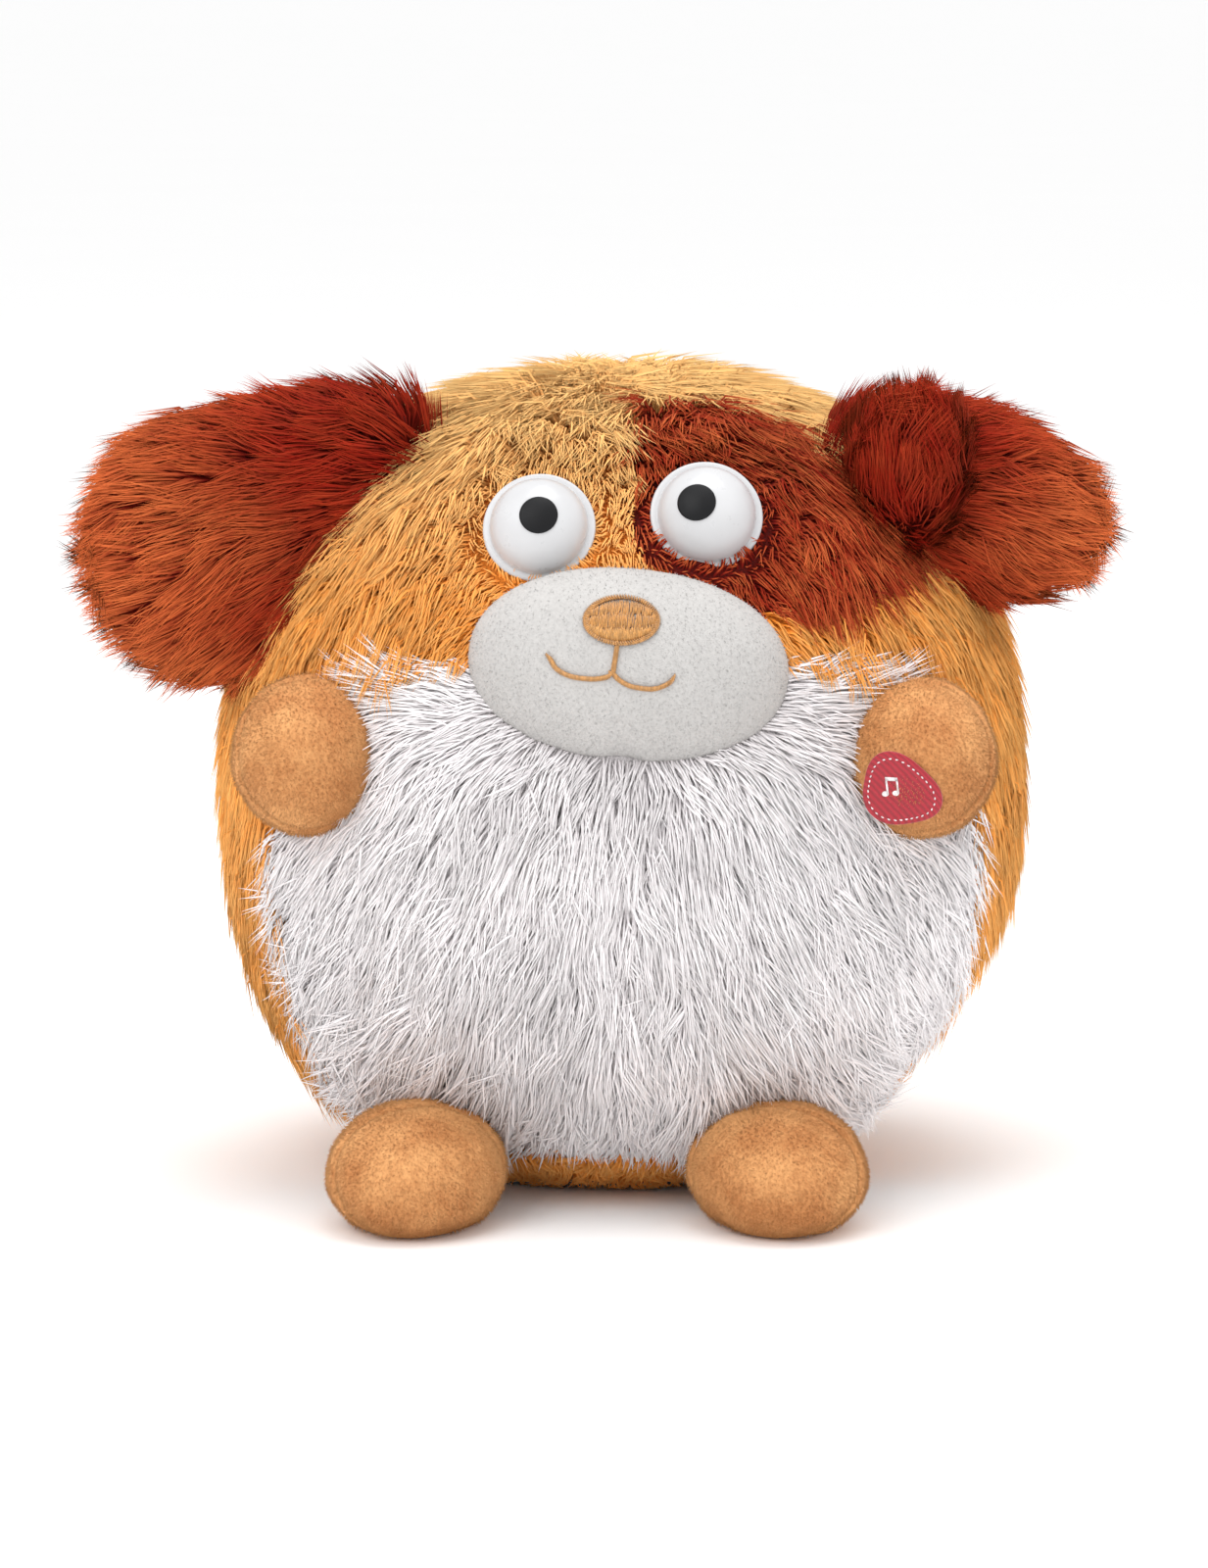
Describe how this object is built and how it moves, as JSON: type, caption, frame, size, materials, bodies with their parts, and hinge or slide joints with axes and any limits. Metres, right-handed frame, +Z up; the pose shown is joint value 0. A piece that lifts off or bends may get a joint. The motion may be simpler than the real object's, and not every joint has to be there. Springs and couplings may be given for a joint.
{
  "type": "interactive plush pet",
  "caption": "Round plush puppy toy with flapping ears, a press switch in one paw, and a battery, sound and gear unit inside a fibre-filled body.",
  "frame": {"origin": "centre of the flat resting face, on the flush battery door of the base", "axes": "+Z up, +X towards the toy's left side (the viewer's right), -Y the way the face looks; the longest extent lies along X, across the ears"},
  "size_m": [0.2728, 0.2167, 0.2212],
  "materials": {
    "golden_plush": "long pile",
    "brown_plush": "long pile",
    "white_plush": "long pile",
    "golden_velvet": "short pile",
    "white_velvet": "short pile",
    "fibre_filling": "loose fibre",
    "brown_thread": "satin stitch",
    "red_satin": "woven satin",
    "white_plastic": "polished",
    "black_plastic": "polished",
    "grey_plastic": "moulded",
    "gear_plastic": "moulded",
    "bright_steel": "plated",
    "dark_steel": "drawn",
    "green_board": "solder mask",
    "cell_wrap": "shrink film",
    "cone_paper": "pressed",
    "lead_sheath": "satin"
  },
  "bodies": {
    "toy": {"plush_head_panel": "golden_plush", "plush_belly_panel": "white_plush", "plush_eye_patch": "brown_plush", "plush_back_panel_left": "golden_plush", "plush_back_panel_right": "golden_plush", "plush_underside": "golden_plush", "filling_front": "fibre_filling", "filling_back": "fibre_filling", "muzzle_plush": "white_velvet", "nose_embroidery": "brown_thread", "mouth_embroidery": "brown_thread", "eye_left_dome": "white_plastic", "eye_right_dome": "white_plastic", "eye_left_pupil": "black_plastic", "eye_right_pupil": "black_plastic", "eye_left_washer": "white_plastic", "eye_right_washer": "white_plastic", "arm_left_plush": "golden_velvet", "arm_right_plush": "golden_velvet", "paw_switch_body": "black_plastic", "foot_left_plush": "golden_velvet", "foot_right_plush": "golden_velvet", "motor_can": "bright_steel", "gear_plate_back": "grey_plastic", "gear_plate_front": "grey_plastic", "gear_plate_screw_left": "bright_steel", "gear_plate_screw_right": "bright_steel", "base_tub": "grey_plastic", "unit_cover": "grey_plastic", "case_screw_left": "bright_steel", "case_screw_right": "bright_steel", "cell_front": "cell_wrap", "cell_middle": "cell_wrap", "cell_rear": "cell_wrap", "contact_minus_end": "bright_steel", "contact_link_front": "bright_steel", "contact_link_rear": "bright_steel", "contact_plus_end": "bright_steel", "speaker_frame": "dark_steel", "speaker_cone": "cone_paper", "speaker_magnet": "dark_steel", "circuit_board": "green_board", "power_switch_body": "black_plastic", "lead_paw": "lead_sheath", "lead_motor": "lead_sheath", "lead_speaker": "lead_sheath", "lead_battery": "lead_sheath"},
    "ear_left": {"ear_left_plush": "brown_plush", "ear_lever_left": "gear_plastic"},
    "ear_right": {"ear_right_plush": "brown_plush", "ear_lever_right": "gear_plastic"},
    "idler_left": {"idler_gear_left": "gear_plastic"},
    "idler_right": {"idler_gear_right": "gear_plastic"},
    "compound": {"compound_gear": "gear_plastic"},
    "motor_rotor": {"motor_pinion": "bright_steel"},
    "paw_button": {"paw_badge": "red_satin", "paw_switch_cap": "white_plastic"},
    "power_knob": {"power_switch_knob": "black_plastic"},
    "door": {"battery_door": "grey_plastic", "battery_door_screw": "bright_steel"}
  },
  "joints": [
    {"name": "ear_left_flap", "type": "hinge", "parent": "toy", "child": "ear_left", "pos_m": [-0.0576, -0.036, 0.166], "axis": [0, 1, 0], "range_deg": [-12, 12]},
    {"name": "ear_right_flap", "type": "hinge", "parent": "toy", "child": "ear_right", "pos_m": [0.0576, -0.036, 0.166], "axis": [0, 1, 0], "range_deg": [-12, 12]},
    {"name": "idler_left_turn", "type": "hinge", "parent": "toy", "child": "idler_left", "pos_m": [-0.0192, -0.036, 0.166], "axis": [0, 1, 0], "range_deg": [-12, 12]},
    {"name": "idler_right_turn", "type": "hinge", "parent": "toy", "child": "idler_right", "pos_m": [0.0192, -0.036, 0.166], "axis": [0, 1, 0], "range_deg": [-12, 12]},
    {"name": "compound_turn", "type": "hinge", "parent": "toy", "child": "compound", "pos_m": [-0.0192, -0.036, 0.1396], "axis": [0, 1, 0], "range_deg": [-32.5, 32.5]},
    {"name": "motor_turn", "type": "hinge", "parent": "toy", "child": "motor_rotor", "pos_m": [-0.0192, -0.036, 0.1168], "axis": [0, 1, 0], "range_deg": [-121, 121]},
    {"name": "paw_press", "type": "slide", "parent": "toy", "child": "paw_button", "axis": [0.3445, 0.8624, 0.3709], "range_m": [0, 0.0025], "stiffness_N_per_m": 500, "springref_m": -0.001},
    {"name": "power_switch", "type": "slide", "parent": "toy", "child": "power_knob", "axis": [0, 1, 0], "range_m": [0, 0.004]},
    {"name": "battery_door_off", "type": "slide", "parent": "toy", "child": "door", "axis": [0, 0, -1], "range_m": [0, 0.03]}
  ],
  "couplings": [
    {"joint": "idler_left_turn", "follows": "ear_left_flap", "ratio": -1},
    {"joint": "idler_right_turn", "follows": "ear_left_flap", "ratio": 1},
    {"joint": "ear_right_flap", "follows": "ear_left_flap", "ratio": -1},
    {"joint": "compound_turn", "follows": "ear_left_flap", "ratio": 2.6667},
    {"joint": "motor_turn", "follows": "ear_left_flap", "ratio": -10}
  ]
}
